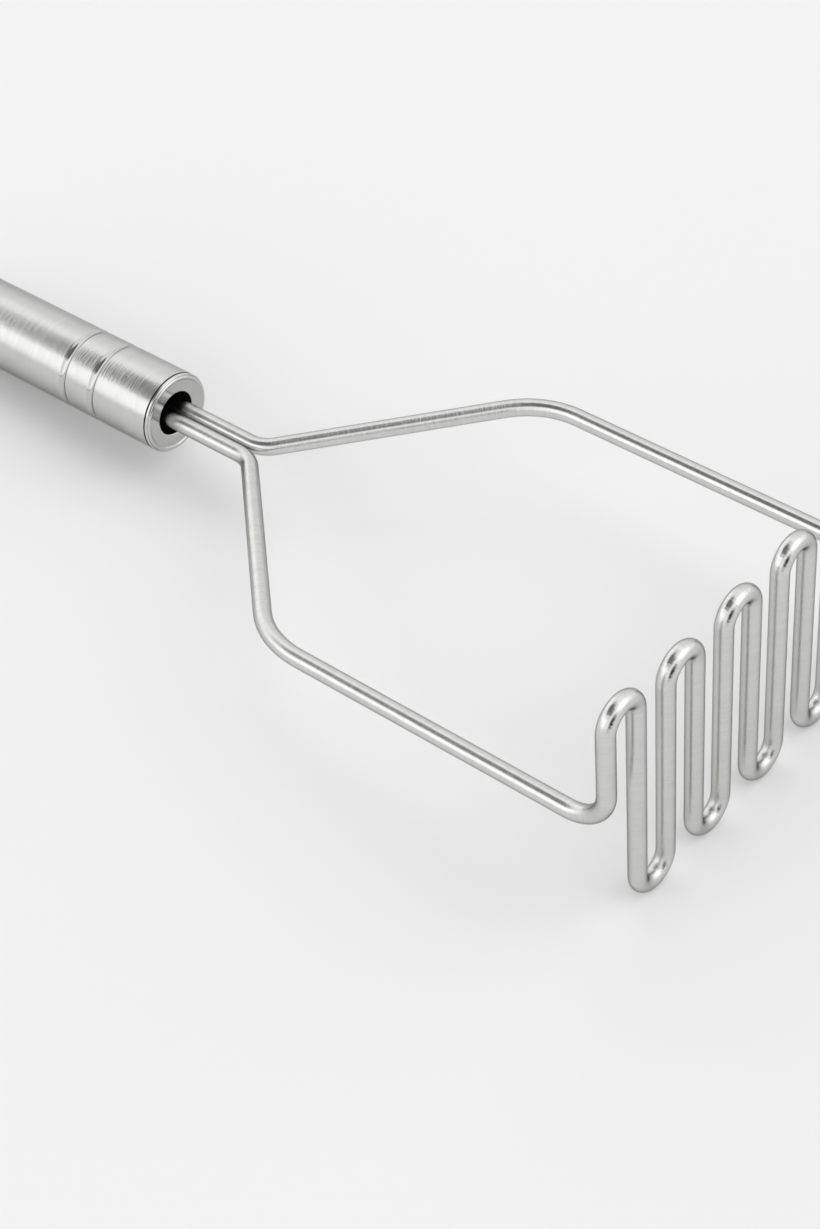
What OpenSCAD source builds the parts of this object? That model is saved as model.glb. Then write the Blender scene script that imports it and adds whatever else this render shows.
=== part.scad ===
// Potato masher: one long bent wire whose two legs are pinned inside a hollow round handle.
//
// Every piece is drawn with the handle's axis along X and the masher's head towards +X.
// The whole tool is then tilted about Y by the angle at which it lies on a table, on the
// head's lower bends and the rear cap's rim. X = 0 before the tilt is the corner of the
// first bend, where the two legs part.

/* [Wire] */
// Diameter of the wire
wire_d = 5; // [3.5:0.1:6]
// Gap between the two legs
leg_gap = 0.2; // [0.1:0.05:0.6]
// Centreline radius of the bend where a leg turns outwards
first_bend_r = 10; // [6:0.5:12]
// Centreline radius of the bend where a slant turns into an arm
second_bend_r = 28; // [10:1:35]
// Centreline radius of the bend where an arm turns into the head
third_bend_r = 12; // [7:0.5:16]

/* [Frame] */
// Length of leg in front of the front cap
leg_reach = 30.2; // [22:0.2:60]
// Length of the slants along the handle's direction
slant_run = 57.5; // [45:0.5:75]
// Length of the arms, from the second bend's corner to the head
arm_run = 110; // [60:1:140]
// Height of the arms above the handle's axis
arm_lift = 6.3; // [0:0.1:10]

/* [Head] */
// Number of bends along the head's upper edge
upper_bends = 5; // [3:1:6]
// Distance between neighbouring strokes of the wire
stroke_pitch = 11.8; // [10:0.1:16]
// Height of the upper bends' centreline above the arms
head_rise = 35.5; // [25:0.5:45]
// Depth of the lower bends' centreline below the arms
head_drop = 33.5; // [25:0.5:45]
// Extra height of the first upper bend
first_rise = 2.5; // [0:0.1:4]

/* [Handle] */
// Outer diameter of the handle's tube
handle_d = 24.2; // [20:0.1:28]
// Wall of the tube
handle_wall = 0.8; // [0.6:0.1:1.2]
// Length of the tube
handle_length = 100; // [85:1:160]
// Depth of the two rolled grooves
groove_depth = 0.45; // [0.2:0.05:0.7]
// Radius of a groove's section
groove_r = 2.4; // [1.6:0.1:3]
// From the tube's front end to the first groove
groove_start = 21.5; // [16:0.5:30]
// Distance between the grooves
groove_pitch = 11.3; // [9:0.1:18]

/* [Front cap] */
// Height of the front cap's bead in front of its seal
cap_height = 1.3; // [1.2:0.1:3]
// Rounding of the bead
cap_round = 1; // [0.6:0.1:1.1]
// Height of the edge of the hole in front of the seal
cap_lip_height = 1; // [0.8:0.1:1.2]
// Diameter of the hole that the legs pass
cap_hole_d = 13.2; // [12.6:0.1:14]
// Thickness of both caps' pressed sheet
sheet = 1; // [0.8:0.1:1.3]
// Length of both caps' spigots inside the tube
spigot_length = 9; // [8.5:0.5:14]
// Thickness of the seals between the caps and the tube
seal = 0.3; // [0.2:0.1:0.8]
// How far the seals lie below the tube's surface
seal_inset = 0.25; // [0.1:0.05:0.5]

/* [Anchor] */
// Length of anchor beyond each groove
anchor_margin = 4; // [3:0.5:6]
// Length of leg behind the anchor
leg_tail = 5; // [2:0.5:10]
// Diameter of the pin through both legs
pin_d = 2; // [1.5:0.1:2.2]
// How far the pin's ends lie inside the anchor
pin_inset = 0.6; // [0.2:0.1:1.5]

/* [Rear cap] */
// Height of the rear cap's rim behind its seal
rear_height = 4; // [3.5:0.1:6]
// Rounding of the rear cap's rim
rear_round = 3; // [1.5:0.1:3.2]
// Rise of the rear cap's crown above its rim
crown = 1.2; // [0.5:0.1:2]
// Diameter of the stud's head
stud_d = 8; // [7:0.1:9]
// Diameter of the stud's shank
shank_d = 4; // [3:0.1:4.5]
// From the stud's seat to the loop's pivot
pivot_out = 6.5; // [6:0.1:9]

/* [Hanging loop] */
// Diameter of the loop's wire
loop_wire_d = 2.5; // [2:0.1:2.8]
// Width of the loop across its centreline
loop_w = 15; // [14:0.5:20]
// From the pivot to the loop's outer centreline
loop_length = 26; // [22:1:45]
// Centreline radius of the bends beside the pivots
loop_bend_r = 2.6; // [2.2:0.1:3]

/* [Fits] */
// Radial clearance of what is pushed together
fit_gap = 0.05; // [0.02:0.01:0.1]
// Radial clearance of the loop's pivots
pivot_gap = 0.05; // [0.03:0.01:0.1]
// Height of the hanging loop's end above the table
rest_gap = 0.03; // [0.01:0.01:0.1]

/* [Hidden] */
$fn = 48;
// Points on a rounding of an outline
arc_steps = 8;

// A bend is fatter than the straights by this much, so that each straight ends inside it
bend_swell = 0.02;
// How far a straight runs on into its bend
lap = 0.05;
// How far cuts run past the surfaces that they open
overrun = 1;

// Wire, frame and head
wire_r = wire_d / 2;
bend_d = wire_d + 2 * bend_swell;
leg_y = (wire_d + leg_gap) / 2;
stroke_count = 2 * upper_bends + 1;
head_w = (stroke_count - 1) * stroke_pitch;
arm_y = head_w / 2;
head_x = slant_run + arm_run;
slant = [slant_run, arm_y - leg_y, arm_lift];
forward = [1, 0, 0];
upward = [0, 0, 1];

// Handle, from its front end backwards
handle_r = handle_d / 2;
bore_r = handle_r - handle_wall;
tube_front = -leg_reach - cap_height - seal;
tube_rear = tube_front - handle_length;
groove_centre_r = handle_r + groove_r - groove_depth;
anchor_r = bore_r - fit_gap;
anchor_front = tube_front - groove_start + anchor_margin;
anchor_length = groove_pitch + 2 * anchor_margin;
anchor_rear = anchor_front - anchor_length;
pin_x = anchor_front - anchor_length / 2;
leg_rear = anchor_rear - leg_tail;

// Caps
spigot_r = bore_r - fit_gap;
spigot_bore_r = spigot_r - sheet;
// Angle through which the bead is rounded, from its outer side over its top
bead_sweep = 150;
cap_back = tube_front + seal;
rear_front = tube_rear - seal;
crown_x = rear_front - rear_height - crown;
stud_seat_r = stud_d / 2;
shank_r = shank_d / 2;
washer_r = 1.6 * shank_d;
washer_t = shank_d / 4;
nut_flats = 1.75 * shank_d;
nut_t = 0.8 * shank_d;
shank_tail = shank_d / 4;
shank_length = sheet + washer_t + nut_t + shank_tail;

// Hanging loop
pivot_x = crown_x - pivot_out;
pivot_bore_r = loop_wire_d / 2 + pivot_gap;
loop_y = loop_w / 2;
loop_bend_d = loop_wire_d + 2 * bend_swell;

// The table touches two round sections: a lower bend of the wire and the rear cap's rim
head_touch = [head_x, arm_lift - head_drop];
rear_touch = [rear_front - rear_height + rear_round, rear_round - handle_r];
touch_step = head_touch - rear_touch;
touch_r = [bend_d / 2, rear_round];
lie = asin((touch_r[0] - touch_r[1]) / norm(touch_step)) - atan2(touch_step[1], touch_step[0]);

// A point of the drawing plane, [x, z], after the tilt
function tilted(p) = [p[0] * cos(lie) - p[1] * sin(lie), p[0] * sin(lie) + p[1] * cos(lie)];

table_z = tilted(head_touch)[1] - touch_r[0];
pivot_height = tilted([pivot_x, 0])[1] - table_z;
loop_droop = asin((pivot_height - loop_bend_d / 2 - rest_gap) / loop_length);
front_reach = tilted(head_touch)[0] + touch_r[0];
rear_reach = tilted([pivot_x, 0])[0] - loop_length * cos(loop_droop) - loop_bend_d / 2;
centre_x = (front_reach + rear_reach) / 2;

// Puts a piece where it lies on the table, with the origin under the middle of the tool
module lying() {
    translate([-centre_x, 0, -table_z])
        rotate([0, -lie, 0])
            children();
}

// Turns +Z to face along X, for round pieces on the handle's axis
module along_handle(x) {
    translate([x, 0, 0])
        rotate([0, 90, 0])
            children();
}

function unit(v) = v / norm(v);
function turn(a, b) = acos(unit(a) * unit(b));
function mirror_y(v) = [v[0], -v[1], v[2]];

// A bend is [start, direction, axis it turns about, centreline radius, angle]
function corner_bend(corner, a, b, r) =
    [corner - r * tan(turn(a, b) / 2) * unit(a), unit(a), unit(cross(a, b)), r, turn(a, b)];
function outward(bend) = cross(bend[1], bend[2]);
function bend_centre(bend) = bend[0] - bend[3] * outward(bend);
function bend_end(bend) =
    bend_centre(bend) + bend[3] * (cos(bend[4]) * outward(bend) + sin(bend[4]) * bend[1]);

// Points on an arc about a centre, between two angles
function arc(centre, r, from, to) =
    [for (i = [0:arc_steps]) centre + r * [cos(from + (to - from) * i / arc_steps),
                                           sin(from + (to - from) * i / arc_steps)]];

module bent(bend, d) {
    x = outward(bend);
    y = bend[1];
    z = bend[2];
    c = bend_centre(bend);
    multmatrix([[x[0], y[0], z[0], c[0]], [x[1], y[1], z[1], c[1]], [x[2], y[2], z[2], c[2]]])
        rotate_extrude(angle = bend[4])
            translate([bend[3], 0])
                circle(d = d);
}

module straight(from, to, d) {
    run = to - from;
    translate(from)
        rotate([0, acos(run[2] / norm(run)), atan2(run[1], run[0])])
            translate([0, 0, -lap])
                cylinder(d = d, h = norm(run) + 2 * lap);
}

// One unbroken wire: its first end, its bends in order and its last end
module bent_wire(first, bends, last, d, fat_d) {
    straight(first, bends[0][0], d);
    for (bend = bends)
        bent(bend, fat_d);
    for (i = [1:len(bends) - 1])
        straight(bend_end(bends[i - 1]), bends[i][0], d);
    straight(bend_end(bends[len(bends) - 1]), last, d);
}

// The near side's corners: where its leg parts, where its arm starts and where its head starts
near_leg = [0, -leg_y, 0];
near_shoulder = [slant_run, -arm_y, arm_lift];
near_foot = [head_x, -arm_y, arm_lift];

function stroke_y(i) = -arm_y + i * stroke_pitch;
function is_upper(i) = i % 2 == 0;
function u_bend_z(i) =
    arm_lift + (is_upper(i) ? head_rise + (i == 0 ? first_rise : 0) : -head_drop)
    + (is_upper(i) ? -stroke_pitch / 2 : stroke_pitch / 2);

// The U-bend after stroke i
function u_bend(i) =
    [[head_x, stroke_y(i), u_bend_z(i)], is_upper(i) ? upward : -upward,
     is_upper(i) ? -forward : forward, stroke_pitch / 2, 180];

wire_bends = concat(
    [corner_bend(near_leg, forward, mirror_y(slant), first_bend_r),
     corner_bend(near_shoulder, mirror_y(slant), forward, second_bend_r),
     corner_bend(near_foot, forward, upward, third_bend_r)],
    [for (i = [0:stroke_count - 2]) u_bend(i)],
    [corner_bend(mirror_y(near_foot), upward, -forward, third_bend_r),
     corner_bend(mirror_y(near_shoulder), -forward, -slant, second_bend_r),
     corner_bend(mirror_y(near_leg), -slant, -forward, first_bend_r)]
);

module masher_wire() {
    color("silver")
        lying()
            difference() {
                bent_wire([leg_rear, -leg_y, 0], wire_bends, [leg_rear, leg_y, 0], wire_d, bend_d);
                pin_hole();
            }
}

// The cross hole that the pin goes through, in the legs and the anchor
module pin_hole() {
    translate([pin_x, 0, 0])
        rotate([90, 0, 0])
            cylinder(d = pin_d + 2 * fit_gap, h = handle_d, center = true);
}

// A ring of round section about the handle's axis, as deep as a groove pressed into the tube
module groove_ring(x, r) {
    along_handle(x)
        rotate_extrude()
            translate([groove_centre_r, 0])
                circle(r = r);
}

module each_groove() {
    for (i = [0:1])
        translate([tube_front - groove_start - i * groove_pitch, 0, 0])
            children();
}

module handle_tube() {
    color("gainsboro")
        lying()
            difference() {
                union() {
                    difference() {
                        along_handle(tube_rear)
                            cylinder(d = handle_d, h = handle_length);
                        along_handle(tube_rear - overrun)
                            cylinder(r = bore_r, h = handle_length + 2 * overrun);
                    }
                    intersection() {
                        each_groove()
                            groove_ring(0, groove_r + handle_wall);
                        along_handle(tube_rear)
                            cylinder(r = bore_r + handle_wall / 2, h = handle_length);
                    }
                }
                each_groove()
                    groove_ring(0, groove_r);
            }
}

// Half of the front cap's section, with its height along Y and its back on Y = 0
module front_cap_section() {
    lip_r = sheet / 2;
    bead = [handle_r - cap_round, cap_height - cap_round];
    lip = [cap_hole_d / 2 + lip_r, cap_lip_height - lip_r];
    polygon(concat(
        [[handle_r, 0]],
        arc(bead, cap_round, 0, bead_sweep),
        arc(lip, lip_r, 90, 270),
        [[spigot_bore_r, cap_lip_height - sheet], [spigot_bore_r, -spigot_length],
         [spigot_r, -spigot_length], [spigot_r, 0]]
    ));
}

module front_cap() {
    color("whitesmoke")
        lying()
            along_handle(cap_back)
                rotate_extrude()
                    front_cap_section();
}

// A flat ring between a cap and the tube's end
module seal_ring(x) {
    along_handle(x)
        difference() {
            cylinder(r = handle_r - seal_inset, h = seal);
            translate([0, 0, -overrun])
                cylinder(r = spigot_r + fit_gap, h = seal + 2 * overrun);
        }
}

module front_seal() {
    color("black")
        lying()
            seal_ring(tube_front);
}

module wire_anchor() {
    color("dimgray")
        lying()
            difference() {
                along_handle(anchor_rear)
                    cylinder(r = anchor_r, h = anchor_length);
                each_groove()
                    groove_ring(0, groove_r + handle_wall + fit_gap);
                leg_hole();
                pin_hole();
            }
}

// The flat-sided hole that both legs go through
module leg_hole() {
    hole_r = wire_r + fit_gap;
    translate([anchor_rear - overrun, 0, 0]) {
        for (side = [-1, 1])
            translate([0, side * leg_y, 0])
                rotate([0, 90, 0])
                    cylinder(r = hole_r, h = anchor_length + 2 * overrun);
        translate([0, -leg_y, -hole_r])
            cube([anchor_length + 2 * overrun, 2 * leg_y, 2 * hole_r]);
    }
}

module anchor_pin() {
    color("gray")
        lying()
            translate([pin_x, 0, 0])
                rotate([90, 0, 0])
                    cylinder(d = pin_d, h = 2 * (anchor_r - pin_inset), center = true);
}

// Half of the rear cap's section, with its height along Y and its back on Y = 0
module rear_cap_section() {
    hole_r = shank_r + fit_gap;
    rim = [handle_r - rear_round, rear_height - rear_round];
    polygon(concat(
        [[handle_r, 0]],
        arc(rim, rear_round, 0, 90),
        [[stud_seat_r, rear_height + crown], [hole_r, rear_height + crown],
         [hole_r, rear_height + crown - sheet], [washer_r, rear_height + crown - sheet],
         [spigot_bore_r, rear_height - rear_round], [spigot_bore_r, -spigot_length],
         [spigot_r, -spigot_length], [spigot_r, 0]]
    ));
}

module rear_cap() {
    color("whitesmoke")
        lying()
            translate([rear_front, 0, 0])
                rotate([0, -90, 0])
                    rotate_extrude()
                        rear_cap_section();
}

module rear_seal() {
    color("black")
        lying()
            seal_ring(rear_front);
}

// The stud's round head carries the loop, and its shank goes through the rear cap
module loop_stud() {
    color("silver")
        lying()
            difference() {
                union() {
                    along_handle(pivot_x)
                        cylinder(d = stud_d, h = pivot_out);
                    translate([pivot_x, 0, 0])
                        sphere(d = stud_d);
                    along_handle(crown_x - lap)
                        cylinder(d = shank_d, h = shank_length + lap);
                }
                translate([pivot_x, 0, 0])
                    rotate([90, 0, 0])
                        cylinder(r = pivot_bore_r, h = stud_d + 2 * overrun, center = true);
            }
}

// A flat piece on the stud's shank, with its hole
module on_shank(x, thickness) {
    along_handle(x)
        difference() {
            children();
            translate([0, 0, -overrun])
                cylinder(r = shank_r + fit_gap, h = thickness + 2 * overrun);
        }
}

module stud_washer() {
    color("silver")
        lying()
            on_shank(crown_x + sheet, washer_t)
                cylinder(r = washer_r - fit_gap, h = washer_t);
}

module stud_nut() {
    color("silver")
        lying()
            on_shank(crown_x + sheet + washer_t, nut_t)
                cylinder(d = nut_flats / cos(30), h = nut_t, $fn = 6);
}

// The loop before it swings down: its pivots on Y and its end towards -X
loop_bends = [
    corner_bend([0, -loop_y, 0], [0, -1, 0], -forward, loop_bend_r),
    [[loop_y - loop_length, -loop_y, 0], -forward, -upward, loop_y, 180],
    corner_bend([0, loop_y, 0], forward, [0, -1, 0], loop_bend_r)
];
pivot_end_y = stud_d / 8;

module hanging_loop() {
    color("silver")
        lying()
            translate([pivot_x, 0, 0])
                rotate([0, lie - loop_droop, 0])
                    bent_wire([0, -pivot_end_y, 0], loop_bends, [0, pivot_end_y, 0], loop_wire_d, loop_bend_d);
}

masher_wire();
handle_tube();
front_cap();
front_seal();
wire_anchor();
anchor_pin();
rear_cap();
rear_seal();
loop_stud();
stud_washer();
stud_nut();
hanging_loop();
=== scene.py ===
"""Potato masher, dressed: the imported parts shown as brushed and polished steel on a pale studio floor.

Lengths are in metres. Pieces are drawn with the handle's axis along X and the head towards +X, where
X = 0 is the corner at which the two legs part. Each is then laid down as the tool lies on a table.
"""

import logging
import math
from collections.abc import Callable
from dataclasses import dataclass
from enum import Enum

import bpy
from mathutils import Matrix, Vector


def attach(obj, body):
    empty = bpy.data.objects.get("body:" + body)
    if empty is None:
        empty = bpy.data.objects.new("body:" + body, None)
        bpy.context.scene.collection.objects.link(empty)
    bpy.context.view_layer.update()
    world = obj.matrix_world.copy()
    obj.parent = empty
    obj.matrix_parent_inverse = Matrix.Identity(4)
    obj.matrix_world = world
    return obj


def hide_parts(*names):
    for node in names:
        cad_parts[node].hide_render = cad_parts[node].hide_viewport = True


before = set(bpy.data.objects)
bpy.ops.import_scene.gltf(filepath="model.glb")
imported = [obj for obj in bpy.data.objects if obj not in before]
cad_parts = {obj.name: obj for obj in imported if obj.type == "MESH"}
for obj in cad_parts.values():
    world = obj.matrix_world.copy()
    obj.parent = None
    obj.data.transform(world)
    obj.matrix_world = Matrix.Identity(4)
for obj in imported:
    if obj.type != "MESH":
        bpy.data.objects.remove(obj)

MM = 0.001
FORWARD = Vector((1, 0, 0))
UPWARD = Vector((0, 0, 1))
# How much fatter the solids' bends are in radius than their straights. The tool's rest allows for it.
BEND_SWELL = 0.02 * MM
# Points of an outline that are closer than this are one point.
MERGE_DISTANCE = 0.001 * MM

log = logging.getLogger("masher")


class Body(Enum):
    """The parts of the tool that move as one."""

    MASHER = "masher"
    LOOP = "loop"


class Slot(Enum):
    """The record's material slots."""

    WIRE = "wire"
    TUBE = "tube"
    CAP = "cap"
    SEAL = "seal"
    ANCHOR = "anchor"
    FASTENER = "fastener"
    STUD = "stud"
    LOOP = "loop"


# Node trees


class Recipe:
    """The node tree of a material or of the world, and the ways to add to it."""

    def __init__(self, tree: bpy.types.NodeTree) -> None:
        """Start with an empty tree."""
        self.tree = tree
        tree.nodes.clear()

    def add(self, kind: str, settings: dict | None = None,
            sockets: dict | None = None) -> bpy.types.Node:
        """Add a node, set it up and then feed its sockets.

        Args:
            kind: the node's type without "ShaderNode".
            settings: the node's own settings by name.
            sockets: values, or what comes from other nodes, by a socket's name or number.

        Returns:
            The new node.
        """
        node = self.tree.nodes.new("ShaderNode" + kind)
        for name, setting in (settings or {}).items():
            setattr(node, name, setting)
        for key, given in (sockets or {}).items():
            self.feed(node.inputs[key], given)
        return node

    def feed(self, socket: bpy.types.NodeSocket, given: object) -> None:
        """Link a socket to what it is given, or set it to a plain value.

        Args:
            socket: the socket to feed.
            given: a Value, another node's output, a number, a tuple or a Vector.
        """
        if isinstance(given, Value):
            given = given.socket
        if isinstance(given, bpy.types.NodeSocket):
            self.tree.links.new(given, socket)
        else:
            socket.default_value = given

    def value(self, kind: str, output: str, settings: dict | None = None,
              sockets: dict | None = None) -> "Value":
        """Add a node as add does, and return the output of that name as a Value."""
        return Value(self, self.add(kind, settings, sockets).outputs[output])

    def blend_colours(self, share: "Value", first: tuple, second: tuple) -> bpy.types.NodeSocket:
        """Mix two colours with their alphas: the first where the share is 0, the second where it is 1."""
        # The colour sockets share their names with others, so they go by number.
        mix = self.add("Mix", {"data_type": "RGBA"}, {0: share, 6: first, 7: second})
        return mix.outputs[2]

    def noise(self, place: bpy.types.NodeSocket, scale: float, detail: int,
              fineness: float = 0.5) -> "Value":
        """Make noise that varies from place to place.

        Args:
            place: the place on the piece.
            scale: the noise's scale.
            detail: how many finer noises are added to it, each half as wide as the one before.
            fineness: how high each of them is, as a share of the one before.

        Returns:
            The noise, around 0.5.
        """
        return self.value("TexNoise", "Fac", None, {
            "Vector": place,
            "Scale": scale,
            "Detail": detail,
            "Roughness": fineness,
        })

    def step(self, value: "Value", low: float, high: float) -> "Value":
        """Rise smoothly from 0 to 1 while a value goes from low to high."""
        return self.value("MapRange", "Result", {"interpolation_type": "SMOOTHSTEP"},
                          {"Value": value, "From Min": low, "From Max": high})


class Value:
    """A number that varies over a surface, with the sums that are used on it."""

    def __init__(self, recipe: Recipe, socket: bpy.types.NodeSocket) -> None:
        """Wrap an output socket of one of the recipe's nodes."""
        self.recipe = recipe
        self.socket = socket

    def _sum(self, operation: str, first: object, second: object) -> "Value":
        """Add a Math node for one sum of two numbers and return its result."""
        return self.recipe.value("Math", "Value", {"operation": operation}, {0: first, 1: second})

    def __add__(self, other: object) -> "Value":
        """Return self + other."""
        return self._sum("ADD", self, other)

    def __radd__(self, other: object) -> "Value":
        """Return other + self."""
        return self._sum("ADD", other, self)

    def __sub__(self, other: object) -> "Value":
        """Return self - other."""
        return self._sum("SUBTRACT", self, other)

    def __rsub__(self, other: object) -> "Value":
        """Return other - self."""
        return self._sum("SUBTRACT", other, self)

    def __mul__(self, other: object) -> "Value":
        """Return self * other."""
        return self._sum("MULTIPLY", self, other)

    def __rmul__(self, other: object) -> "Value":
        """Return other * self."""
        return self._sum("MULTIPLY", other, self)


# Finishes


def opaque(colour: tuple) -> tuple:
    """Return a colour with its alpha of 1."""
    return (*colour, 1)


def start_material(name: str) -> tuple[bpy.types.Material, Recipe]:
    """Make a material whose node tree is still empty.

    Args:
        name: the material's name.

    Returns:
        The material and its node tree.
    """
    made = bpy.data.materials.new(name)
    made.use_nodes = True
    return made, Recipe(made.node_tree)


@dataclass(frozen=True)
class BrushedSteel:
    """Steel brushed round its axis: fine rings that smear every reflection lengthwise.

    The rings follow the piece's "grain" attribute, whose first number runs along the piece's own axis.
    A ring's streaks round the piece, and the wider bands and patches that vary the steel's colour, are
    measured in ring widths. The edge tint darkens what the steel mirrors towards its silhouette.
    """

    name: str
    colour: tuple = (0.68, 0.68, 0.672)
    shade: tuple = (0.56, 0.56, 0.552)
    roughness: float = 0.16
    roughness_spread: float = 0.06
    ring_width: float = 0.5 * MM
    ring_depth: float = 0.14 * MM
    streak_length: float = 16.0
    band_width: float = 2.0
    patch_width: float = 15.0
    band_share: float = 0.7
    edge_tint: tuple = (0.62, 0.62, 0.62)

    def material(self) -> bpy.types.Material:
        """Make the finish's material.

        Returns:
            The new material.
        """
        made, recipe = start_material(self.name)
        grain = recipe.add("Attribute", {"attribute_name": "grain"}).outputs["Vector"]
        along = 1 / self.ring_width
        round_it = along / self.streak_length
        brushed = Vector((along, round_it, round_it))
        even = Vector((along, along, along))
        rings = self.marks(recipe, grain, brushed, detail=4, fineness=0.65)
        bands = self.marks(recipe, grain, brushed / self.band_width, detail=3)
        patches = self.marks(recipe, grain, even / self.patch_width, detail=2)
        tone = bands * self.band_share + patches * (1 - self.band_share)
        bump = recipe.add("Bump", None, {"Strength": 1, "Distance": self.ring_depth, "Height": rings})
        steel = recipe.add("BsdfPrincipled", None, {
            "Base Color": recipe.blend_colours(tone, opaque(self.shade), opaque(self.colour)),
            "Metallic": 1,
            "Specular Tint": opaque(self.edge_tint),
            "Roughness": self.roughness + (bands - 0.5) * self.roughness_spread,
            "Normal": bump.outputs["Normal"],
        })
        recipe.add("OutputMaterial", None, {"Surface": steel.outputs["BSDF"]})
        return made

    def marks(self, recipe: Recipe, grain: bpy.types.NodeSocket, scale: Vector, detail: int,
              fineness: float = 0.5) -> Value:
        """Make noise that follows the grain, with a scale for each of the brushing's directions."""
        scaled = recipe.add("VectorMath", {"operation": "MULTIPLY"}, {0: grain, 1: scale})
        return recipe.noise(scaled.outputs["Vector"], 1, detail, fineness)


@dataclass(frozen=True)
class TurnedMetal:
    """Plain metal with a lathe's marks round the handle's axis, for the small pieces inside the tool.

    The tilt is how far the handle's axis leans. A mark's length and the patches that vary the metal's
    colour are measured in mark widths.
    """

    name: str
    colour: tuple
    shade: tuple
    roughness: float
    tilt: float
    metallic: float = 1.0
    roughness_spread: float = 0.1
    mark_width: float = 0.2 * MM
    mark_depth: float = 0.02 * MM
    mark_length: float = 30.0
    patch_width: float = 20.0

    def material(self) -> bpy.types.Material:
        """Make the finish's material.

        Returns:
            The new material.
        """
        made, recipe = start_material(self.name)
        place = recipe.add("TexCoord").outputs["Object"]
        along = 1 / self.mark_width
        round_it = along / self.mark_length
        turned = recipe.add("Mapping", None, {
            "Vector": place,
            "Rotation": (0, self.tilt, 0),
            "Scale": (along, round_it, round_it),
        })
        marks = recipe.noise(turned.outputs["Vector"], 1, detail=2)
        patches = recipe.noise(place, along / self.patch_width, detail=3)
        bump = recipe.add("Bump", None, {"Strength": 1, "Distance": self.mark_depth, "Height": marks})
        metal = recipe.add("BsdfPrincipled", None, {
            "Base Color": recipe.blend_colours(patches, opaque(self.shade), opaque(self.colour)),
            "Metallic": self.metallic,
            "Roughness": self.roughness + (patches - 0.5) * self.roughness_spread,
            "Normal": bump.outputs["Normal"],
        })
        recipe.add("OutputMaterial", None, {"Surface": metal.outputs["BSDF"]})
        return made


@dataclass(frozen=True)
class BlackRubberAndPaintedShade:
    """Black rubber with a fine matt skin, which also serves as black painted shade inside the handle and
    the front cap.
    """

    name: str
    colour: tuple = (0.018, 0.018, 0.018)
    shade: tuple = (0.008, 0.008, 0.008)
    roughness: float = 0.55
    roughness_spread: float = 0.2
    pore: float = 0.15 * MM
    pore_depth: float = 0.01 * MM

    def material(self) -> bpy.types.Material:
        """Make the finish's material.

        Returns:
            The new material.
        """
        made, recipe = start_material(self.name)
        place = recipe.add("TexCoord").outputs["Object"]
        pores = recipe.noise(place, 1 / self.pore, detail=3)
        bump = recipe.add("Bump", None, {"Strength": 1, "Distance": self.pore_depth, "Height": pores})
        rubber = recipe.add("BsdfPrincipled", None, {
            "Base Color": recipe.blend_colours(pores, opaque(self.shade), opaque(self.colour)),
            "Roughness": self.roughness + (pores - 0.5) * self.roughness_spread,
            "Normal": bump.outputs["Normal"],
        })
        recipe.add("OutputMaterial", None, {"Surface": rubber.outputs["BSDF"]})
        return made


@dataclass(frozen=True)
class PaleFloor:
    """A plain matt floor, which is the picture's background too."""

    name: str
    colour: tuple = (0.9, 0.9, 0.9)

    def material(self) -> bpy.types.Material:
        """Make the finish's material.

        Returns:
            The new material.
        """
        made, recipe = start_material(self.name)
        paint = recipe.add("BsdfDiffuse", None, {"Color": opaque(self.colour)})
        recipe.add("OutputMaterial", None, {"Surface": paint.outputs["BSDF"]})
        return made


# Making and placing pieces


def select_only(piece: bpy.types.Object) -> None:
    """Leave one object selected and active, because operators act on all that is selected.

    Args:
        piece: the object.
    """
    bpy.ops.object.select_all(action="DESELECT")
    piece.select_set(True)
    bpy.context.view_layer.objects.active = piece


def arc(centre: tuple, radius: float, start: float, end: float, steps: int) -> list[tuple]:
    """Return points on an arc, from one angle to another.

    Args:
        centre: the arc's centre.
        radius: its radius.
        start: the first point's angle in degrees.
        end: the last point's angle in degrees.
        steps: the number of steps between them.

    Returns:
        The points, one more than the steps.
    """
    angles = [math.radians(start + (end - start) * i / steps) for i in range(steps + 1)]
    return [(centre[0] + radius * math.cos(a), centre[1] + radius * math.sin(a)) for a in angles]


def mark_grain(piece: bpy.types.Object, grain: list[Vector]) -> None:
    """Store where each vertex lies in the brushing's own directions.

    Args:
        piece: the mesh object.
        grain: a vector for each vertex: along the piece's axis, then two numbers across it.
    """
    attribute = piece.data.attributes.new("grain", "FLOAT_VECTOR", "POINT")
    attribute.data.foreach_set("vector", [number for vector in grain for number in vector])


def lay_down(piece: bpy.types.Object, place: Matrix) -> None:
    """Move a drawn piece to its place, and keep that place in its mesh.

    Args:
        piece: the mesh object, drawn at the origin.
        place: the move from where it is drawn to where it lies.
    """
    select_only(piece)
    piece.matrix_world = place
    bpy.ops.object.transform_apply(location=True, rotation=True, scale=True)


def finish_faces(piece: bpy.types.Object, slot: int, chosen: Callable[[Vector], bool]) -> None:
    """Give some of a piece's faces the material of another of its slots.

    Args:
        piece: the mesh object, where it is drawn, with its materials.
        slot: the number of the material's slot.
        chosen: says of a face's middle whether the face is one of them.
    """
    for face in piece.data.polygons:
        if chosen(face.center):
            face.material_index = slot


def off_axis(point: Vector) -> float:
    """Return how far a point lies from the handle's axis."""
    return math.hypot(point.y, point.z)


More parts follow.
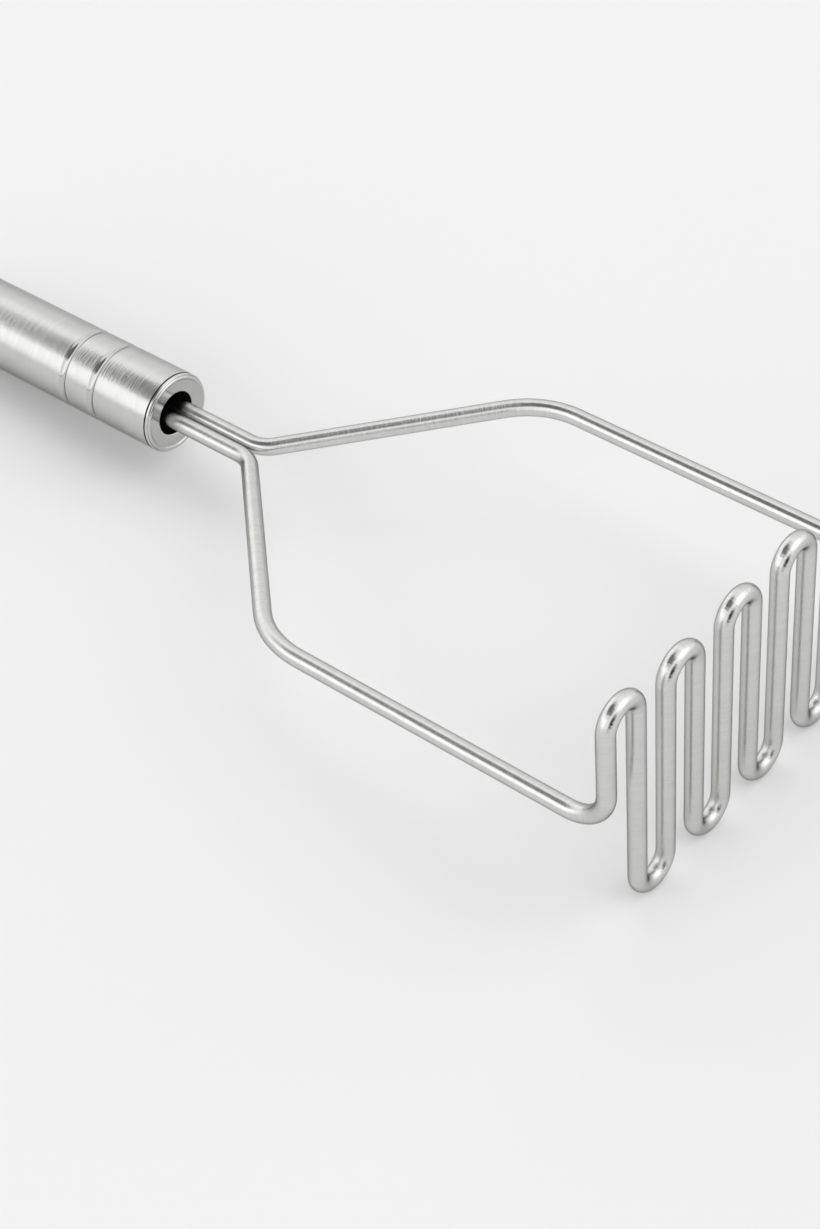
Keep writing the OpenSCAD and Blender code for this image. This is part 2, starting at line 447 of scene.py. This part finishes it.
def dress(piece: bpy.types.Object, node: str, body: Body, slot: Slot,
          *materials: bpy.types.Material) -> None:
    """Give a finished piece its materials and its body, and hide the CAD node that it stands for.

    Args:
        piece: the mesh object, in its place.
        node: the node that it replaces.
        body: the body that it rides on.
        slot: its material slot in the record; not used.
        materials: its materials, in the order of its own slots.
    """
    chosen = [face.material_index for face in piece.data.polygons]
    piece.data.materials.clear()
    for material in materials:
        piece.data.materials.append(material)
    piece.data.polygons.foreach_set("material_index", chosen)
    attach(piece, body.value)
    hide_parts(node)
    size = piece.dimensions / MM
    log.info("%s: %d faces, %.1f x %.1f x %.1f mm", piece.name, len(piece.data.polygons), *size)


@dataclass(frozen=True)
class Bend:
    """A bend of a wire.

    It has a start, the wire's direction there, an axis that it turns about, a radius and an angle.
    """

    start: Vector
    direction: Vector
    axis: Vector
    radius: float
    angle: float

    @classmethod
    def at_corner(cls, corner: Vector, before: Vector, after: Vector, radius: float) -> "Bend":
        """Round off the corner between two straights.

        Args:
            corner: where the straights' centrelines would meet.
            before: the direction of the first straight.
            after: the direction of the second one.
            radius: the centreline radius of the bend.

        Returns:
            The bend.
        """
        angle = before.angle(after)
        start = corner - before.normalized() * radius * math.tan(angle / 2)
        return cls(start, before.normalized(), before.cross(after).normalized(), radius, angle)

    @property
    def centre(self) -> Vector:
        """Return the point that the bend turns about."""
        return self.start - self.direction.cross(self.axis) * self.radius

    @property
    def end(self) -> Vector:
        """Return where the bend ends."""
        return self.centre + Matrix.Rotation(self.angle, 3, self.axis) @ (self.start - self.centre)


@dataclass
class DrawnWire:
    """A round wire, pulled straight and spun round its bends from its first end to its last.

    Its ends are chamfered. A bend takes a step for each bend_step of its angle.
    """

    name: str
    diameter: float
    first: Vector
    bends: list[Bend]
    last: Vector
    sides: int = 40
    bend_step: float = math.radians(6)
    fewest_bend_steps: int = 2
    smooth_angle: float = math.radians(35)
    chamfer: float = 0.2 * MM

    def build(self) -> bpy.types.Object:
        """Make the wire and mark its grain.

        Returns:
            The mesh object, where it is drawn.
        """
        direction = (self.bends[0].start - self.first).normalized()
        turn = direction.to_track_quat("Z", "Y").to_euler()
        rim = self.diameter / 2 - self.chamfer
        bpy.ops.object.select_all(action="DESELECT")
        bpy.ops.mesh.primitive_circle_add(vertices=self.sides, radius=rim, fill_type="NGON",
                                          location=self.first, rotation=turn)
        wire = bpy.context.object
        wire.name = self.name
        bpy.ops.object.transform_apply(location=True, rotation=True, scale=True)
        bpy.ops.object.mode_set(mode="EDIT")
        bpy.ops.mesh.select_all(action="SELECT")
        places = [0.0]
        self.pull(direction * self.chamfer, places)
        self.swell(self.first + direction * self.chamfer, rim, self.diameter / 2)
        here = self.first + direction * self.chamfer
        for bend in self.bends:
            self.pull(bend.start - here, places)
            self.turn(bend, places)
            here = bend.end
        direction = (self.last - here).normalized()
        self.pull(self.last - direction * self.chamfer - here, places)
        self.pull(direction * self.chamfer, places)
        self.swell(self.last, self.diameter / 2, rim)
        bpy.ops.mesh.select_all(action="SELECT")
        bpy.ops.mesh.normals_make_consistent(inside=False)
        bpy.ops.object.mode_set(mode="OBJECT")
        bpy.ops.object.shade_smooth_by_angle(angle=self.smooth_angle)
        self.grain(wire, places)
        return wire

    def pull(self, step: Vector, places: list[float]) -> None:
        """Extrude the wire's end face along a straight.

        Args:
            step: how far and which way.
            places: how far along the wire each ring of vertices lies, to which the new ring is added.
        """
        bpy.ops.mesh.extrude_region_move(TRANSFORM_OT_translate={"value": step})
        places.append(places[-1] + step.length)

    def swell(self, centre: Vector, before: float, after: float) -> None:
        """Scale the wire's end face about its centre, from one radius to another."""
        scale = after / before
        bpy.ops.transform.resize(value=(scale, scale, scale), center_override=centre)

    def turn(self, bend: Bend, places: list[float]) -> None:
        """Spin the wire's end face round a bend.

        Args:
            bend: the bend to follow.
            places: how far along the wire each ring of vertices lies, to which the new rings are added.
        """
        steps = max(self.fewest_bend_steps, math.ceil(bend.angle / self.bend_step))
        bpy.ops.mesh.spin(steps=steps, angle=-bend.angle, center=bend.centre, axis=bend.axis)
        places += [places[-1] + bend.radius * bend.angle * (i + 1) / steps for i in range(steps)]

    def grain(self, wire: bpy.types.Object, places: list[float]) -> None:
        """Mark each vertex with its place along the wire and round it.

        Args:
            wire: the mesh object.
            places: how far along the wire each ring of vertices lies.
        """
        radius = self.diameter / 2
        turns = [2 * math.pi * i / self.sides for i in range(self.sides)]
        mark_grain(wire, [Vector((place, radius * math.cos(t), radius * math.sin(t)))
                          for place in places for t in turns])


@dataclass
class TurnedPiece:
    """A round piece made as on a lathe: an outline spun all the way round the handle's axis.

    The outline's points are (distance along the axis, radius). It is closed, unless both its ends lie on
    the axis.
    """

    name: str
    outline: list[tuple]
    steps: int
    smooth_angle: float = math.radians(30)

    def build(self) -> bpy.types.Object:
        """Make the piece.

        Returns:
            The mesh object, where it is drawn.
        """
        on_axis = self.outline[0][1] == 0 and self.outline[-1][1] == 0
        points = [Vector((x, 0, r)) for x, r in self.outline]
        if not on_axis:
            points.append(points[0])
        bpy.ops.object.select_all(action="DESELECT")
        bpy.ops.mesh.primitive_plane_add(size=MM, location=points[0])
        piece = bpy.context.object
        piece.name = self.name
        bpy.ops.object.transform_apply(location=True, rotation=True, scale=True)
        bpy.ops.object.mode_set(mode="EDIT")
        bpy.ops.mesh.select_all(action="SELECT")
        bpy.ops.mesh.merge(type="CENTER")
        for before, after in zip(points, points[1:]):
            bpy.ops.mesh.extrude_vertices_move(TRANSFORM_OT_translate={"value": after - before})
        bpy.ops.mesh.select_all(action="SELECT")
        bpy.ops.mesh.spin(steps=self.steps, angle=2 * math.pi, center=(0, 0, 0), axis=FORWARD)
        bpy.ops.mesh.select_all(action="SELECT")
        bpy.ops.mesh.remove_doubles(threshold=MERGE_DISTANCE)
        bpy.ops.mesh.normals_make_consistent(inside=False)
        bpy.ops.object.mode_set(mode="OBJECT")
        bpy.ops.object.shade_smooth_by_angle(angle=self.smooth_angle)
        return piece


def mark_drawn_place(piece: bpy.types.Object) -> None:
    """Mark a piece on the handle's axis with its drawn place as its grain."""
    mark_grain(piece, [vertex.co.copy() for vertex in piece.data.vertices])


# The tool's sub-assemblies


@dataclass
class MasherWire:
    """The one bent wire: two legs, two slants, two arms and the head's strokes."""

    diameter: float = 5 * MM
    leg_gap: float = 0.2 * MM
    first_bend_r: float = 10 * MM
    second_bend_r: float = 28 * MM
    third_bend_r: float = 12 * MM
    slant_run: float = 57.5 * MM
    arm_run: float = 110 * MM
    arm_lift: float = 6.3 * MM
    upper_bends: int = 5
    stroke_pitch: float = 11.8 * MM
    head_rise: float = 35.5 * MM
    head_drop: float = 33.5 * MM
    first_rise: float = 2.5 * MM
    leg_end: float = -73.6 * MM

    @property
    def leg_y(self) -> float:
        """Return how far a leg's centreline lies from the middle."""
        return (self.diameter + self.leg_gap) / 2

    @property
    def u_bends(self) -> int:
        """Return the number of U-bends between the strokes."""
        return 2 * self.upper_bends

    @property
    def arm_y(self) -> float:
        """Return how far an arm's centreline lies from the middle."""
        return self.u_bends * self.stroke_pitch / 2

    @property
    def head_x(self) -> float:
        """Return where the head's strokes stand."""
        return self.slant_run + self.arm_run

    def u_bend(self, i: int) -> Bend:
        """Work out one of the head's U-bends.

        Args:
            i: the number of the stroke before it, from 0 on. After an even one, the bend is an upper one.

        Returns:
            The bend.
        """
        upper = i % 2 == 0
        radius = self.stroke_pitch / 2
        if upper:
            z = self.arm_lift + self.head_rise + (self.first_rise if i == 0 else 0) - radius
        else:
            z = self.arm_lift - self.head_drop + radius
        start = Vector((self.head_x, -self.arm_y + i * self.stroke_pitch, z))
        return Bend(start, UPWARD if upper else -UPWARD, -FORWARD if upper else FORWARD, radius, math.pi)

    def bends(self) -> list[Bend]:
        """Work out all the bends.

        Returns:
            The bends, from the near leg round to the far one.
        """
        slant = Vector((self.slant_run, self.arm_y - self.leg_y, self.arm_lift))
        near_slant = Vector((slant.x, -slant.y, slant.z))
        leg = Vector((0, self.leg_y, 0))
        shoulder = Vector((self.slant_run, self.arm_y, self.arm_lift))
        foot = Vector((self.head_x, self.arm_y, self.arm_lift))
        to_near = Vector((1, -1, 1))
        return [
            Bend.at_corner(leg * to_near, FORWARD, near_slant, self.first_bend_r),
            Bend.at_corner(shoulder * to_near, near_slant, FORWARD, self.second_bend_r),
            Bend.at_corner(foot * to_near, FORWARD, UPWARD, self.third_bend_r),
            *[self.u_bend(i) for i in range(self.u_bends)],
            Bend.at_corner(foot, UPWARD, -FORWARD, self.third_bend_r),
            Bend.at_corner(shoulder, -FORWARD, -slant, self.second_bend_r),
            Bend.at_corner(leg, -slant, -FORWARD, self.first_bend_r),
        ]

    def build(self, place: Matrix, steel: bpy.types.Material) -> None:
        """Make the wire, lay it down and dress it.

        Args:
            place: the move from where it is drawn to where it lies.
            steel: the wire's finish.
        """
        near_end = Vector((self.leg_end, -self.leg_y, 0))
        far_end = Vector((self.leg_end, self.leg_y, 0))
        wire = DrawnWire("bent_wire", self.diameter, near_end, self.bends(), far_end).build()
        lay_down(wire, place)
        dress(wire, "masher_wire", Body.MASHER, Slot.WIRE, steel)


@dataclass
class Grip:
    """The round hollow handle with its two rolled grooves.

    A face belongs to the outside as long as its middle is within end_margin of the full radius.
    """

    radius: float = 12.1 * MM
    wall: float = 0.8 * MM
    front: float = -31.9 * MM
    length: float = 99.9 * MM
    edge_r: float = 0.08 * MM
    groove_start: float = 21.46 * MM
    groove_pitch: float = 11.3 * MM
    groove_depth: float = 0.45 * MM
    groove_r: float = 2 * MM
    shoulder_r: float = 0.8 * MM
    end_margin: float = 0.02 * MM

    @property
    def rear(self) -> float:
        """Return where the tube ends."""
        return self.front - self.length

    def groove(self, x: float) -> list[tuple]:
        """Draw the outline across one groove.

        Args:
            x: the place of the groove's middle along the axis.

        Returns:
            The points, from the groove's front shoulder to its rear one.
        """
        reach = self.groove_r + self.shoulder_r
        slope = math.degrees(math.acos(1 - self.groove_depth / reach))
        half = reach * math.sin(math.radians(slope))
        floor = (x, self.radius - self.groove_depth + self.groove_r)
        shoulder_height = self.radius - self.shoulder_r
        return [
            *arc((x + half, shoulder_height), self.shoulder_r, 90, 90 + slope, steps=6),
            *arc(floor, self.groove_r, 270 + slope, 270 - slope, steps=14)[1:-1],
            *arc((x - half, shoulder_height), self.shoulder_r, 90 - slope, 90, steps=6),
        ]

    def outline(self) -> list[tuple]:
        """Draw the tube's section.

        Returns:
            The points, from the front end over the outside and back through the bore.
        """
        height = self.radius - self.edge_r
        bore = self.radius - self.wall
        first = self.front - self.groove_start
        return [
            *arc((self.front - self.edge_r, height), self.edge_r, 0, 90, steps=4),
            *self.groove(first),
            *self.groove(first - self.groove_pitch),
            *arc((self.rear + self.edge_r, height), self.edge_r, 90, 180, steps=4),
            (self.rear, bore),
            (self.front, bore),
        ]

    def build(self, place: Matrix, steel: bpy.types.Material, burnish_painted_shade: bpy.types.Material,
              painted_shade_black: bpy.types.Material) -> None:
        """Make the tube, lay it down and dress it, with burnished grooves in a darker colour that is
        painted shade, and black painted shade on the ends and in the bore.

        Args:
            place: the move from where it is drawn to where it lies.
            steel: the finish outside.
            burnish_painted_shade: the finish of the grooves, darker in colour as painted shade.
            painted_shade_black: black painted shade on the ends, for the joints' shadow, and in the bore.
        """
        tube = TurnedPiece("grip_tube", self.outline(), steps=160).build()
        mark_drawn_place(tube)
        middle = (self.front + self.rear) / 2
        groove_top = self.radius - self.end_margin
        end = self.length / 2 - self.end_margin
        bore_top = self.radius - self.wall + self.end_margin
        # The grooves take the burnished finish, whose darker colour is painted shade.
        finish_faces(tube, slot=1, chosen=lambda at: off_axis(at) < groove_top)
        # The ends and the bore are painted black as shade: the shadow in the joints at the caps and down
        # the bore.
        finish_faces(tube, slot=2, chosen=lambda at: abs(at.x - middle) > end or off_axis(at) < bore_top)
        lay_down(tube, place)
        dress(tube, "handle_tube", Body.MASHER, Slot.TUBE, steel, burnish_painted_shade, painted_shade_black)


@dataclass
class FrontCap:
    """The cap at the handle's front, with its rim, its ridge, its face and the hole that the legs pass.

    In its section, the rim ends and the ridge starts at an angle in degrees, counted from the axis.
    """

    radius: float = 12.1 * MM
    back: float = -31.34 * MM
    height: float = 1.14 * MM
    rim_height: float = 0.77 * MM
    rim_r: float = 0.5 * MM
    ridge_r: float = 0.6 * MM
    ridge_inset: float = 1.1 * MM
    hollow_r: float = 0.4 * MM
    face_height: float = 0.69 * MM
    lip_height: float = 0.84 * MM
    lip_r: float = 0.5 * MM
    hole_r: float = 6.6 * MM
    sheet: float = 1 * MM
    spigot_r: float = 11.25 * MM
    spigot_length: float = 9 * MM
    back_margin: float = 0.02 * MM
    rim_end: float = 20
    ridge_start: float = 80

    def outline(self) -> list[tuple]:
        """Draw the cap's section.

        Returns:
            The points, from the back edge over the rim, the ridge and the face to the inside.
        """
        rim = (self.back + self.rim_height - self.rim_r, self.radius - self.rim_r)
        ridge = (self.back + self.height - self.ridge_r, self.radius - self.ridge_inset)
        rise = self.back + self.face_height + self.hollow_r - ridge[0]
        reach = self.ridge_r + self.hollow_r
        fall = math.sqrt(reach ** 2 - rise ** 2)
        meet = math.degrees(math.atan2(fall, rise))
        hollow = (ridge[0] + rise, ridge[1] - fall)
        lip = (self.back + self.lip_height - self.lip_r, self.hole_r + self.lip_r)
        inside = self.spigot_r - self.sheet
        return [
            (self.back, self.radius),
            *arc(rim, self.rim_r, 90, self.rim_end, steps=8),
            *arc(ridge, self.ridge_r, self.ridge_start, -meet, steps=16),
            *arc(hollow, self.hollow_r, 180 - meet, 180, steps=8)[1:],
            *arc(lip, self.lip_r, 0, -180, steps=14),
            (self.back + self.lip_height - self.sheet, inside),
            (self.back - self.spigot_length, inside),
            (self.back - self.spigot_length, self.spigot_r),
            (self.back, self.spigot_r),
        ]

    def build(self, place: Matrix, polish: bpy.types.Material, satin_painted_shade: bpy.types.Material,
              painted_shade_black: bpy.types.Material) -> None:
        """Make the cap, lay it down and dress it, with a satin face in a darker colour that is painted
        shade, and black painted shade inside and against the seal.

        Args:
            place: the move from where it is drawn to where it lies.
            polish: the finish of the rim and the ridge.
            satin_painted_shade: the finish of the face, darker in colour as painted shade.
            painted_shade_black: black painted shade inside and against the seal.
        """
        cap = TurnedPiece("front_cap_pressing", self.outline(), steps=160).build()
        mark_drawn_place(cap)
        lip_x = self.back + self.lip_height - self.lip_r
        face_r = self.radius - self.ridge_inset
        back_r = self.radius - self.back_margin
        # The face is satin, in a darker colour that is painted shade.
        finish_faces(cap, slot=1, chosen=lambda at: at.x > lip_x and off_axis(at) < face_r)
        # The inside and the back against the seal are painted black as shade, for the dark hole and the
        # joint.
        finish_faces(cap, slot=2, chosen=lambda at: at.x < lip_x and off_axis(at) < back_r)
        lay_down(cap, place)
        dress(cap, "front_cap", Body.MASHER, Slot.CAP, polish, satin_painted_shade, painted_shade_black)


@dataclass
class RearEnd:
    """The rear cap and the stud that carries the hanging loop."""

    radius: float = 12.1 * MM
    front: float = -132.1 * MM
    height: float = 4 * MM
    rim_r: float = 3 * MM
    crown: float = 1.2 * MM
    sheet: float = 1 * MM
    spigot_r: float = 11.25 * MM
    spigot_length: float = 9 * MM
    washer_r: float = 6.4 * MM
    stud_r: float = 4 * MM
    stud_edge_r: float = 0.3 * MM
    shank_r: float = 2 * MM
    shank_length: float = 6.2 * MM
    hole_gap: float = 0.05 * MM
    pivot_out: float = 6.5 * MM
    bore_r: float = 1.3 * MM
    drill_length: float = 12 * MM

    @property
    def crown_x(self) -> float:
        """Return where the stud sits on the cap's crown."""
        return self.front - self.height - self.crown

    @property
    def pivot_x(self) -> float:
        """Return where the hanging loop's pivots are."""
        return self.crown_x - self.pivot_out

    def cap_outline(self) -> list[tuple]:
        """Draw the cap's section.

        Returns:
            The points, from the front edge over the rim and the crown and back along the inside.
        """
        rim = (self.front - self.height + self.rim_r, self.radius - self.rim_r)
        rise = rim[0] - self.crown_x
        run = rim[1] - self.stud_r
        crown_slope = math.atan2(rise, run) - math.asin(self.rim_r / math.hypot(rise, run))
        hole_r = self.shank_r + self.hole_gap
        inside = self.spigot_r - self.sheet
        return [
            (self.front, self.radius),
            *arc(rim, self.rim_r, 90, 180 - math.degrees(crown_slope), steps=20),
            (self.crown_x, self.stud_r),
            (self.crown_x, hole_r),
            (self.crown_x + self.sheet, hole_r),
            (self.crown_x + self.sheet, self.washer_r),
            (rim[0], inside),
            (self.front + self.spigot_length, inside),
            (self.front + self.spigot_length, self.spigot_r),
            (self.front, self.spigot_r),
        ]

    def stud_outline(self) -> list[tuple]:
        """Draw the stud's section.

        Returns:
            The points, from the top of the round head to the end of the shank.
        """
        edge = (self.crown_x - self.stud_edge_r, self.stud_r - self.stud_edge_r)
        tail = self.crown_x + self.shank_length
        return [
            (self.pivot_x - self.stud_r, 0),
            *arc((self.pivot_x, 0), self.stud_r, 180, 90, steps=20)[1:],
            *arc(edge, self.stud_edge_r, 90, 0, steps=5),
            (self.crown_x, self.shank_r),
            (tail - self.stud_edge_r, self.shank_r),
            (tail, self.shank_r - self.stud_edge_r),
            (tail, 0),
        ]

    def build(self, place: Matrix, polish: bpy.types.Material, steel: bpy.types.Material) -> None:
        """Make the cap and the stud, lay them down and dress them.

        Args:
            place: the move from where they are drawn to where they lie.
            polish: the cap's finish.
            steel: the stud's finish.
        """
        cap = TurnedPiece("rear_cap_pressing", self.cap_outline(), steps=160).build()
        mark_drawn_place(cap)
        lay_down(cap, place)
        dress(cap, "rear_cap", Body.MASHER, Slot.CAP, polish)
        stud = TurnedPiece("loop_stud_turning", self.stud_outline(), steps=96).build()
        self.drill(stud)
        mark_drawn_place(stud)
        lay_down(stud, place)
        dress(stud, "loop_stud", Body.MASHER, Slot.STUD, steel)

    def drill(self, stud: bpy.types.Object) -> None:
        """Drill the stud's cross hole.

        Args:
            stud: the stud, where it is drawn.
        """
        bpy.ops.object.select_all(action="DESELECT")
        bpy.ops.mesh.primitive_cylinder_add(vertices=64, radius=self.bore_r, depth=self.drill_length,
                                            location=(self.pivot_x, 0, 0),
                                            rotation=(math.pi / 2, 0, 0))
        bit = bpy.context.object
        select_only(stud)
        cut = stud.modifiers.new("cross hole", "BOOLEAN")
        cut.operation = "DIFFERENCE"
        cut.object = bit
        bpy.ops.object.modifier_apply(modifier=cut.name)
        bpy.data.objects.remove(bit)


@dataclass
class HangingLoop:
    """The wire loop that swings in the stud, and hangs until its end almost meets the table."""

    diameter: float = 2.5 * MM
    width: float = 15 * MM
    length: float = 26 * MM
    bend_r: float = 2.6 * MM
    end_y: float = 1 * MM
    rest_gap: float = 0.03 * MM

    def bends(self) -> list[Bend]:
        """Work out the loop's bends.

        Returns:
            The bends, with the loop's pivots on Y and its end towards -X.
        """
        side = self.width / 2
        return [
            Bend.at_corner(Vector((0, -side, 0)), Vector((0, -1, 0)), -FORWARD, self.bend_r),
            Bend(Vector((side - self.length, -side, 0)), -FORWARD, -UPWARD, side, math.pi),
            Bend.at_corner(Vector((0, side, 0)), FORWARD, Vector((0, -1, 0)), self.bend_r),
        ]

    def build(self, place: Matrix, steel: bpy.types.Material) -> None:
        """Make the loop, lay it down and dress it.

        Args:
            place: the move from the pivot at the origin to where the loop lies.
            steel: the loop's finish.
        """
        first = Vector((0, -self.end_y, 0))
        last = Vector((0, self.end_y, 0))
        loop = DrawnWire("hanging_wire_loop", self.diameter, first, self.bends(), last,
                         sides=32).build()
        lay_down(loop, place)
        dress(loop, "hanging_loop", Body.LOOP, Slot.LOOP, steel)


@dataclass(frozen=True)
class Placing:
    """How the drawn tool lies on the table: tipped about Y, lifted onto it and centred.

    The droop is how far the hanging loop points below the level.
    """

    lie: float
    centre_x: float
    table_z: float
    droop: float

    @classmethod
    def on_table(cls, wire: MasherWire, rear: RearEnd, loop: HangingLoop) -> "Placing":
        """Rest the tool on a lower bend of its head and on the rear cap's rim.

        Args:
            wire: the masher wire.
            rear: the rear cap and the stud.
            loop: the hanging loop.

        Returns:
            The placing.
        """
        head = Vector((wire.head_x, wire.arm_lift - wire.head_drop))
        rim = Vector((rear.front - rear.height + rear.rim_r, rear.rim_r - rear.radius))
        head_r = wire.diameter / 2 + BEND_SWELL
        step = head - rim
        lie = math.asin((head_r - rear.rim_r) / step.length) - math.atan2(step.y, step.x)
        tipped_head = cls.tipped(lie, head)
        table_z = tipped_head.y - head_r
        loop_r = loop.diameter / 2 + BEND_SWELL
        pivot = cls.tipped(lie, Vector((rear.pivot_x, 0)))
        droop = math.asin((pivot.y - table_z - loop_r - loop.rest_gap) / loop.length)
        rear_reach = pivot.x - loop.length * math.cos(droop) - loop_r
        return cls(lie, (tipped_head.x + head_r + rear_reach) / 2, table_z, droop)

    @staticmethod
    def tipped(lie: float, point: Vector) -> Vector:
        """Return a point of the drawing plane, along and up, after the tipping."""
        return Matrix.Rotation(lie, 2) @ point

    def tool(self) -> Matrix:
        """Return the move of everything drawn on the handle's axis."""
        lift = Matrix.Translation((-self.centre_x, 0, -self.table_z))
        return lift @ Matrix.Rotation(-self.lie, 4, "Y")

    def loop(self, pivot_x: float) -> Matrix:
        """Return the move of the loop, from its pivots at the origin to where it hangs."""
        swing = Matrix.Rotation(self.lie - self.droop, 4, "Y")
        return self.tool() @ Matrix.Translation((pivot_x, 0, 0)) @ swing


def dress_node(node: str, material: bpy.types.Material) -> None:
    """Give a CAD node that stays in the scene its material.

    Args:
        node: the node's name.
        material: its finish.
    """
    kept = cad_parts[node]
    if not kept.material_slots:
        kept.data.materials.append(material)
    for held in kept.material_slots:
        held.material = material
    log.info("%s: kept, %s", node, material.name)


def dress_kept_nodes(lie: float) -> None:
    """Finish the CAD nodes that stay in the scene: the seals and the small pieces inside the handle, with
    the wire anchor in black that is painted shade.

    Args:
        lie: how far the handle's axis leans.
    """
    rubber = BlackRubberAndPaintedShade("black rubber").material()
    # The wire anchor is coloured black as painted shade, for the dark hole in the front cap.
    plug = TurnedMetal("plug in painted shade black", (0.03, 0.03, 0.03), (0.015, 0.015, 0.015),
                       roughness=0.5, tilt=lie, metallic=0).material()
    plated = TurnedMetal("plated steel", (0.5, 0.5, 0.49), (0.42, 0.42, 0.41),
                         roughness=0.3, tilt=lie).material()
    dress_node("front_seal", rubber)
    dress_node("rear_seal", rubber)
    dress_node("wire_anchor", plug)
    for node in ("anchor_pin", "stud_washer", "stud_nut"):
        dress_node(node, plated)


# The studio


@dataclass(frozen=True)
class Patch:
    """A round patch of the studio's dome.

    It has a middle, an angle from there to its edge, a light, and an angle by which the edge is soft.
    """

    azimuth: float
    height: float
    spread: float
    light: float
    softness: float


@dataclass
class Studio:
    """A pale floor under a dome of soft light, with brighter and darker patches in it, and the camera.

    A direction is an azimuth, counted from +X towards +Y, and a height above the floor, both in degrees.
    Near the floor, up to gap_top, the dome is darker. The floor is wide enough to be the background.
    The camera's turn is in degrees too, and its lens and its sensor are in millimetres.
    """

    floor_size: float = 60.0
    dome_light: float = 1.16
    patches: tuple[Patch, ...] = (
        Patch(azimuth=112, height=24, spread=26, light=0.97, softness=12),
        Patch(azimuth=-125, height=20, spread=31, light=1.52, softness=6),
        Patch(azimuth=167, height=18, spread=15, light=1.4, softness=6),
        Patch(azimuth=-47, height=22, spread=13, light=1.2, softness=6),
        Patch(azimuth=28, height=43, spread=23, light=1.75, softness=4),
        Patch(azimuth=-27, height=15, spread=21, light=0.02, softness=5),
        Patch(azimuth=-140, height=62, spread=24, light=0.18, softness=6),
        Patch(azimuth=-79, height=64, spread=17, light=0.22, softness=7),
    )
    gap_light: float = 0.4
    gap_top: float = 4.0
    camera_place: tuple = (0.40694, -0.40918, 0.54429)
    camera_turn: tuple = (44.291, 1.0136, 39.6968)
    lens: float = 81.166
    sensor_width: float = 36.0

    def build_floor(self) -> None:
        """Make the floor."""
        bpy.ops.object.select_all(action="DESELECT")
        bpy.ops.mesh.primitive_plane_add(size=self.floor_size)
        floor = bpy.context.object
        floor.name = "floor"
        floor.data.materials.append(PaleFloor("pale floor").material())

    def build_light(self) -> None:
        """Make the dome of light with its patches and a thin darker gap above the floor."""
        world = bpy.data.worlds.new("studio")
        world.use_nodes = True
        bpy.context.scene.world = world
        recipe = Recipe(world.node_tree)
        direction = recipe.add("TexCoord").outputs["Generated"]
        light = self.dome_light
        for patch in self.patches:
            light = light + (patch.light - light) * self.share(recipe, direction, patch)
        height = recipe.value("SeparateXYZ", "Z", None, {"Vector": direction})
        above_gap = recipe.step(height, 0, math.sin(math.radians(self.gap_top)))
        light = self.gap_light + (light - self.gap_light) * above_gap
        glow = recipe.add("Background", None, {"Color": (1, 1, 1, 1), "Strength": light})
        recipe.add("OutputWorld", None, {"Surface": glow.outputs["Background"]})

    def share(self, recipe: Recipe, direction: bpy.types.NodeSocket, patch: Patch) -> Value:
        """Return 1 inside a patch of the dome and 0 outside it, with a soft edge.

        Args:
            recipe: the world's node tree.
            direction: the direction that is looked in.
            patch: the patch.

        Returns:
            The share of the patch.
        """
        azimuth = math.radians(patch.azimuth)
        height = math.radians(patch.height)
        level = math.cos(height)
        towards = (math.cos(azimuth) * level, math.sin(azimuth) * level, math.sin(height))
        closeness = recipe.value("VectorMath", "Value", {"operation": "DOT_PRODUCT"},
                                 {0: direction, 1: towards})
        outer = math.cos(math.radians(patch.spread + patch.softness))
        inner = math.cos(math.radians(patch.spread - patch.softness))
        return recipe.step(closeness, outer, inner)

    def build_camera(self) -> None:
        """Put the camera where the photograph was taken from."""
        bpy.ops.object.camera_add(location=self.camera_place,
                                  rotation=[math.radians(angle) for angle in self.camera_turn])
        camera = bpy.context.object
        camera.name = "camera"
        camera.data.lens = self.lens
        camera.data.sensor_width = self.sensor_width
        bpy.context.scene.camera = camera


def main() -> None:
    """Build, place and dress the tool, and set up the studio."""
    logging.basicConfig(level=logging.INFO, format="%(name)s: %(message)s")
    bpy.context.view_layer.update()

    masher = MasherWire()
    grip = Grip()
    front_cap = FrontCap()
    rear = RearEnd()
    loop = HangingLoop()
    placing = Placing.on_table(masher, rear, loop)

    wire_steel = BrushedSteel("brushed wire steel", (0.75, 0.75, 0.742), (0.56, 0.56, 0.553),
                              roughness=0.13, ring_width=0.3 * MM, ring_depth=0.07 * MM,
                              streak_length=10, edge_tint=(0.4, 0.4, 0.4)).material()
    grip_steel = BrushedSteel("brushed grip steel").material()
    polish = BrushedSteel("polished cap steel", roughness=0.13, ring_depth=0.02 * MM).material()
    # The grooves' darker colour is painted shade.
    burnish_painted_shade = BrushedSteel("burnished groove steel with painted shade", (0.6, 0.6, 0.592), (0.5, 0.5, 0.492),
                           roughness=0.08, ring_depth=0.01 * MM).material()
    # The cap face's darker colour is painted shade.
    satin_painted_shade = BrushedSteel("satin cap steel", (0.56, 0.56, 0.552), (0.46, 0.46, 0.452),
                         roughness=0.13, ring_depth=0.04 * MM).material()
    stud_steel = BrushedSteel("turned stud steel", roughness=0.15, ring_depth=0.05 * MM).material()
    # Black painted shade for the handle's joints and insides, where shadow falls.
    painted_shade_black = BlackRubberAndPaintedShade("painted shade inside", roughness=0.8).material()

    tool_place = placing.tool()
    masher.build(tool_place, wire_steel)
    grip.build(tool_place, grip_steel, burnish_painted_shade, painted_shade_black)
    front_cap.build(tool_place, polish, satin_painted_shade, painted_shade_black)
    rear.build(tool_place, polish, stud_steel)
    loop.build(placing.loop(rear.pivot_x), wire_steel)
    dress_kept_nodes(placing.lie)

    studio = Studio()
    studio.build_floor()
    studio.build_light()
    studio.build_camera()
    bpy.context.scene.view_settings.view_transform = "Standard"


if __name__ == "__main__":
    main()
